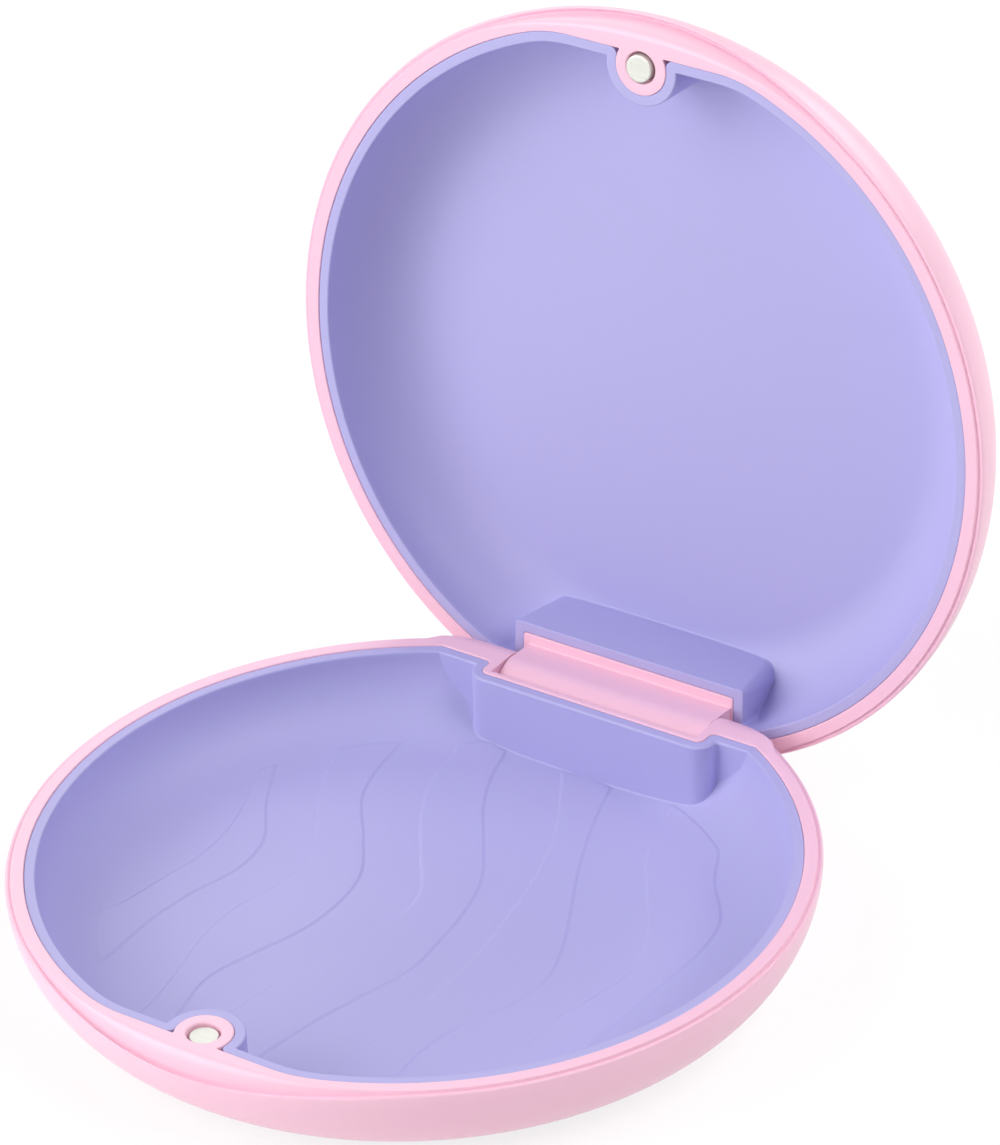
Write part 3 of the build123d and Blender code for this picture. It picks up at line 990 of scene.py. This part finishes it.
# Materials
SOCKET_KINDS = {"Vector": "NodeSocketVector", "Colour": "NodeSocketColor", "Shade": "NodeSocketColor"}
MICRON = 0.000001
SCRATCH_ROUGHNESS = 0.2    # how much rougher a metal is along its scratches
PINK_LINT = (0.9, 0.9, 0.9, 1.0)
LAVENDER_LINT = (0.85, 0.85, 0.9, 1.0)
NICKEL_PIT = (0.25, 0.24, 0.2, 1.0)


def add_node(tree, kind, inputs, **settings):
    """A shader node with its settings. Each of its inputs is a number, a colour or another node's output."""
    node = tree.nodes.new(kind)
    for name, value in settings.items():
        setattr(node, name, value)
    for label, value in inputs.items():
        if isinstance(value, bpy.types.NodeSocket):
            tree.links.new(value, node.inputs[label])
        else:
            node.inputs[label].default_value = value
    return node


def noise(tree, vector, scale, detail=2.0, roughness=0.5):
    """A noise texture on the given coordinates."""
    inputs = {"Vector": vector, "Scale": scale, "Detail": detail, "Roughness": roughness}
    return add_node(tree, "ShaderNodeTexNoise", inputs).outputs["Fac"]


def maths(tree, operation, *values):
    """A maths node whose inputs are numbers or links."""
    return add_node(tree, "ShaderNodeMath", dict(enumerate(values)), operation=operation).outputs[0]


def mixed(tree, share, colour, other):
    """A colour with a share of another mixed in."""
    inputs = {"Factor": share, 6: colour, 7: other}
    return add_node(tree, "ShaderNodeMix", inputs, data_type="RGBA").outputs[2]


def new_effect(name, inputs, outputs):
    """A node group with coordinates, named inputs with their defaults, and named outputs."""
    group = bpy.data.node_groups.new(name, "ShaderNodeTree")
    for label, default in {"Vector": None, **inputs}.items():
        kind = SOCKET_KINDS.get(label, "NodeSocketFloat")
        socket = group.interface.new_socket(name=label, in_out="INPUT", socket_type=kind)
        if default is not None:
            socket.default_value = default
    for label in outputs:
        kind = SOCKET_KINDS.get(label, "NodeSocketFloat")
        group.interface.new_socket(name=label, in_out="OUTPUT", socket_type=kind)
    return group, group.nodes.new("NodeGroupInput").outputs


def give(group, **results):
    """Link the results to the outputs of a node group."""
    add_node(group, "NodeGroupOutput", results)


def mottle_group():
    """Two near colours that drift into each other, as pigment does in a moulding."""
    group, given = new_effect("Mottle", {"Scale": 30.0, "Colour": None, "Shade": None}, ["Colour"])
    cloud = noise(group, given["Vector"], given["Scale"], 3.0)
    give(group, Colour=mixed(group, cloud, given["Colour"], given["Shade"]))
    return group


def grain_group():
    """Fine moulded grain: a height for the bump and a roughness that drifts slowly."""
    defaults = {"Scale": 3000.0, "Roughness": 0.4, "Spread": 0.05}
    group, given = new_effect("Fine grain", defaults, ["Height", "Roughness"])
    fine = noise(group, given["Vector"], given["Scale"], 2.0, 0.6)
    slow = noise(group, given["Vector"], maths(group, "MULTIPLY", given["Scale"], 0.03))
    drift = maths(group, "MULTIPLY", maths(group, "SUBTRACT", slow, 0.5), given["Spread"])
    give(group, Height=fine, Roughness=maths(group, "ADD", given["Roughness"], drift))
    return group


def specks_group():
    """Sparse tiny specks, as a mask."""
    group, given = new_effect("Lint specks", {"Scale": 150.0, "Size": 0.03, "Share": 0.1}, ["Mask"])
    inputs = {"Vector": given["Vector"], "Scale": given["Scale"]}
    cells = add_node(group, "ShaderNodeTexVoronoi", inputs).outputs
    near = maths(group, "LESS_THAN", cells["Distance"], given["Size"])
    dice = add_node(group, "ShaderNodeSeparateColor", {"Color": cells["Color"]}).outputs[0]
    chosen = maths(group, "LESS_THAN", dice, given["Share"])
    give(group, Mask=maths(group, "MULTIPLY", near, chosen))
    return group


def scratches_group():
    """Fine scratches along X, as a mask."""
    group, given = new_effect("Fine scratches", {"Scale": 900.0, "Threshold": 0.6}, ["Mask"])
    inputs = {0: given["Vector"], 1: (0.06, 1.0, 1.0)}
    stretched = add_node(group, "ShaderNodeVectorMath", inputs, operation="MULTIPLY").outputs[0]
    lines = noise(group, stretched, given["Scale"], 2.0, 0.6)
    over = maths(group, "SUBTRACT", lines, given["Threshold"])
    give(group, Mask=maths(group, "MAXIMUM", maths(group, "MULTIPLY", over, 6.0), 0.0))
    return group


class Finish:
    """One material: its nodes, the shared effects and a shader at the end."""

    def __init__(self, name, groups):
        material = bpy.data.materials.new(name)
        material.use_nodes = True
        self.tree = material.node_tree
        self.tree.nodes.clear()
        self.groups = groups
        self.vector = add_node(self.tree, "ShaderNodeTexCoord", {}).outputs["Object"]

    def effect(self, name, **values):
        """The outputs of a shared effect on Object coordinates."""
        inputs = {"Vector": self.vector, **values}
        return add_node(self.tree, "ShaderNodeGroup", inputs, node_tree=self.groups[name]).outputs

    def mottle(self, scale, colour, shade):
        """Two colours that drift into each other."""
        return self.effect("mottle", Scale=scale, Colour=opaque(colour), Shade=opaque(shade))["Colour"]

    def coat(self, colour, roughness, height, depth, more):
        """The shader, with a bump from a height whose depth is in metres."""
        bump = add_node(self.tree, "ShaderNodeBump", {"Distance": depth, "Strength": 1.0, "Height": height})
        inputs = {"Base Color": colour, "Roughness": roughness, "Normal": bump.outputs["Normal"], **more}
        shader = add_node(self.tree, "ShaderNodeBsdfPrincipled", inputs)
        add_node(self.tree, "ShaderNodeOutputMaterial", {"Surface": shader.outputs["BSDF"]})

    def coat_metal(self, colour, scratches, roughness, depth):
        """The shader of a metal that is rougher along its scratches."""
        rougher = maths(self.tree, "MULTIPLY", scratches, SCRATCH_ROUGHNESS)
        roughness = maths(self.tree, "ADD", rougher, roughness)
        self.coat(colour, roughness, scratches, depth, {"Metallic": 1.0})


def opaque(colour):
    """A colour of the panel with full alpha."""
    return (*colour, 1.0)


def darker(colour, share):
    """A share of a colour's light."""
    return [part * share for part in colour]


def moulded_pink(groups, colours):
    """Satin moulded plastic of the shells, with a little lint."""
    finish = Finish("moulded_pink", groups)
    pigment = finish.mottle(28.0, colours.pink, colours.pink_deep)
    grain = finish.effect("grain", Scale=2600.0, Roughness=0.34, Spread=0.10)
    specks = finish.effect("specks", Scale=110.0, Size=0.012, Share=0.05)
    colour = mixed(finish.tree, specks["Mask"], pigment, PINK_LINT)
    finish.coat(colour, grain["Roughness"], grain["Height"], 4 * MICRON, {"Specular IOR Level": 0.45})


def soft_lavender(groups, colours):
    """Matte silicone of the liners, with lint, and a painted highlight in pale lavender on the left ramps of
    the wave bands.
    """
    finish = Finish("soft_lavender", groups)
    pigment = finish.mottle(22.0, colours.lavender, colours.lavender_deep)
    grain = finish.effect("grain", Scale=3600.0, Roughness=0.50, Spread=0.12)
    specks = finish.effect("specks", Scale=120.0, Size=0.014, Share=0.10)
    # Painted highlight: the pale attribute mixes pale lavender into the bands' left ramps
    pale = add_node(finish.tree, "ShaderNodeAttribute", {}, attribute_name="pale").outputs["Fac"]
    edges = mixed(finish.tree, pale, pigment, opaque(colours.lavender_pale))
    colour = mixed(finish.tree, specks["Mask"], edges, LAVENDER_LINT)
    finish.coat(colour, grain["Roughness"], grain["Height"], 6 * MICRON, {"Specular IOR Level": 0.40})


def nickel_plate(groups, colours):
    """Nickel plate with fine scratches and a few dark pits."""
    finish = Finish("nickel_plate", groups)
    plate = finish.mottle(900.0, colours.nickel, darker(colours.nickel, 0.9))
    scratches = finish.effect("scratches", Scale=2500.0, Threshold=0.56)["Mask"]
    pits = finish.effect("specks", Scale=2200.0, Size=0.10, Share=0.06)["Mask"]
    colour = mixed(finish.tree, pits, plate, NICKEL_PIT)
    finish.coat_metal(colour, scratches, 0.58, 2 * MICRON)


def drawn_steel(groups, colours):
    """Drawn steel wire."""
    finish = Finish("drawn_steel", groups)
    wire = finish.mottle(400.0, colours.steel, darker(colours.steel, 0.8))
    scratches = finish.effect("scratches", Scale=4000.0, Threshold=0.5)["Mask"]
    finish.coat_metal(wire, scratches, 0.28, 3 * MICRON)


# Studio
CAMERA_PLACE = (0.3050072, -0.4258568, 0.3635566)
CAMERA_TURN = (58.6882, 1.8418, 33.3933)
LAMP_DIRECTIONS = {
    "key": (-0.8, -0.8, 0.3),
    "sky": (-0.5, -0.6, 0.8),
    "front": (-0.2, -1.0, 0.45),
    "side": (0.7, 0.1, 0.8),
    "rear_left": (-0.7, 0.7, 0.6),
    "rear": (0.2, 1.0, 0.6),
}
LAMP_TARGET = (0.0, 0.01, 0.03)
LAMP_DISTANCE = 1.1
LAMP_WIDTH = 0.7
FLOOR_HALF = 3.0
FLOOR_SHOW = 0.22          # how much of the floor's own light and shade the camera sees
FLOOR_WHITE = 1.02         # the floor's brightness in even light


def seen_directly(tree):
    """1 for rays of the camera, and for mirror images and views through glass."""
    path = add_node(tree, "ShaderNodeLightPath", {}).outputs
    seen = maths(tree, "MAXIMUM", path["Is Camera Ray"], path["Is Glossy Ray"])
    return maths(tree, "MAXIMUM", seen, path["Is Transmission Ray"])


def floor_material(colour):
    """A plain pale floor that looks white and keeps the object's shadow."""
    material = bpy.data.materials.new("pale_floor")
    material.use_nodes = True
    tree = material.node_tree
    tree.nodes.clear()
    plain = add_node(tree, "ShaderNodeBsdfDiffuse", {"Color": opaque(colour)})
    shown = add_node(tree, "ShaderNodeBsdfDiffuse", {"Color": opaque([FLOOR_SHOW] * 3)})
    glow = add_node(tree, "ShaderNodeEmission", {"Strength": FLOOR_WHITE - FLOOR_SHOW})
    both = add_node(tree, "ShaderNodeAddShader", {0: shown.outputs[0], 1: glow.outputs[0]})
    inputs = {"Fac": seen_directly(tree), 1: plain.outputs[0], 2: both.outputs[0]}
    mix = add_node(tree, "ShaderNodeMixShader", inputs)
    add_node(tree, "ShaderNodeOutputMaterial", {"Surface": mix.outputs[0]})
    return material


def make_world():
    """A room that is seen as white and gives no light."""
    world = bpy.data.worlds.new("white_room")
    world.use_nodes = True
    tree = world.node_tree
    tree.nodes.clear()
    background = add_node(tree, "ShaderNodeBackground", {"Strength": seen_directly(tree)})
    add_node(tree, "ShaderNodeOutputWorld", {"Surface": background.outputs[0]})
    bpy.context.scene.world = world


def softbox(name, direction, power):
    """A square lamp in a direction from the case, which it looks at."""
    data = bpy.data.lights.new(name, "AREA")
    data.shape = "SQUARE"
    data.size = LAMP_WIDTH
    data.energy = power
    lamp = bpy.data.objects.new(name, data)
    offset = Vector(direction).normalized() * LAMP_DISTANCE
    lamp.location = Vector(LAMP_TARGET) + offset
    lamp.rotation_euler = (-offset).to_track_quat("-Z", "Y").to_euler()
    bpy.context.scene.collection.objects.link(lamp)


def make_floor(colour):
    """A large plain floor."""
    bm = bmesh.new()
    bmesh.ops.create_grid(bm, x_segments=1, y_segments=1, size=FLOOR_HALF)
    floor = object_of("floor", bm)
    floor.data.materials.append(floor_material(colour))


def make_camera(lens):
    """The camera at the photograph's angle."""
    data = bpy.data.cameras.new("camera")
    data.lens = lens
    data.sensor_width = 36.0
    data.clip_start = 0.01
    camera = bpy.data.objects.new("camera", data)
    camera.location = CAMERA_PLACE
    camera.rotation_euler = Euler([math.radians(a) for a in CAMERA_TURN], "XYZ")
    bpy.context.scene.collection.objects.link(camera)
    bpy.context.scene.camera = camera


class CASE_OT_finishes(Operator):
    """Mix the finishes of the case: pink plastic, lavender silicone, nickel plate and drawn steel"""

    bl_idname = "case.finishes"
    bl_label = "Finishes"

    def execute(self, context):
        groups = {
            "mottle": mottle_group(), "grain": grain_group(),
            "specks": specks_group(), "scratches": scratches_group(),
        }
        for make in (moulded_pink, soft_lavender, nickel_plate, drawn_steel):
            make(groups, context.scene.case_finish)
        return {"FINISHED"}


class CASE_OT_base_shell(Operator):
    """Mould the base shell with its knuckles, pocket and magnet boss"""

    bl_idname = "case.base_shell"
    bl_label = "Base shell"

    def execute(self, context):
        make_base_shell()
        return {"FINISHED"}


class CASE_OT_lid_shell(Operator):
    """Mould the lid shell with its hinge lug and magnet boss"""

    bl_idname = "case.lid_shell"
    bl_label = "Lid shell"

    def execute(self, context):
        make_lid_shell()
        return {"FINISHED"}


class CASE_OT_liners(Operator):
    """Mould both soft liners, the base's with its wave bands"""

    bl_idname = "case.liners"
    bl_label = "Liners"

    def execute(self, context):
        make_base_liner()
        make_lid_liner()
        return {"FINISHED"}


class CASE_OT_magnets(Operator):
    """Turn both disc magnets"""

    bl_idname = "case.magnets"
    bl_label = "Magnets"

    def execute(self, context):
        magnet = sizes("case_magnet")
        make_magnet("disc_magnet_base", magnet["base_top"], base_place(), "base", "base_magnet")
        make_magnet("disc_magnet_lid", magnet["lid_top"], lid_place(), "lid", "lid_magnet")
        return {"FINISHED"}


class CASE_OT_pin(Operator):
    """Cut the hinge pin from drawn wire"""

    bl_idname = "case.pin"
    bl_label = "Hinge pin"

    def execute(self, context):
        make_pin()
        return {"FINISHED"}


class CASE_OT_stage(Operator):
    """Set up the floor, the soft light and the camera"""

    bl_idname = "case.stage"
    bl_label = "Stage"

    def execute(self, context):
        scene = context.scene
        studio = scene.case_studio
        scene.view_settings.view_transform = "Standard"
        make_world()
        make_floor(scene.case_finish.floor)
        for name, direction in LAMP_DIRECTIONS.items():
            softbox(name, direction, getattr(studio, name))
        make_camera(studio.lens)
        return {"FINISHED"}


OPERATORS = (
    CASE_OT_finishes, CASE_OT_base_shell, CASE_OT_lid_shell, CASE_OT_liners,
    CASE_OT_magnets, CASE_OT_pin, CASE_OT_stage,
)


class CASE_PT_panel(Panel):
    """Sizes, colours and steps of the retainer case"""

    bl_idname = "CASE_PT_panel"
    bl_label = "Retainer case"
    bl_space_type = "VIEW_3D"
    bl_region_type = "UI"
    bl_category = "Retainer case"

    def draw(self, context):
        for operator in OPERATORS:
            self.layout.operator(operator.bl_idname)
        for group, kind in GROUPS.items():
            box = self.layout.box()
            box.label(text=kind.__doc__)
            for name in kind.__annotations__:
                box.prop(getattr(context.scene, group), name)


CLASSES = (*GROUPS.values(), *OPERATORS, CASE_PT_panel)


def register():
    for kind in CLASSES:
        bpy.utils.register_class(kind)
    for group, kind in GROUPS.items():
        setattr(bpy.types.Scene, group, PointerProperty(type=kind))


def unregister():
    for group in GROUPS:
        delattr(bpy.types.Scene, group)
    for kind in reversed(CLASSES):
        bpy.utils.unregister_class(kind)


def main():
    register()
    bpy.ops.case.finishes()
    bpy.ops.case.base_shell()
    bpy.ops.case.lid_shell()
    bpy.ops.case.liners()
    bpy.ops.case.magnets()
    bpy.ops.case.pin()
    bpy.ops.case.stage()
    bpy.context.view_layer.update()


if __name__ == "__main__":
    main()
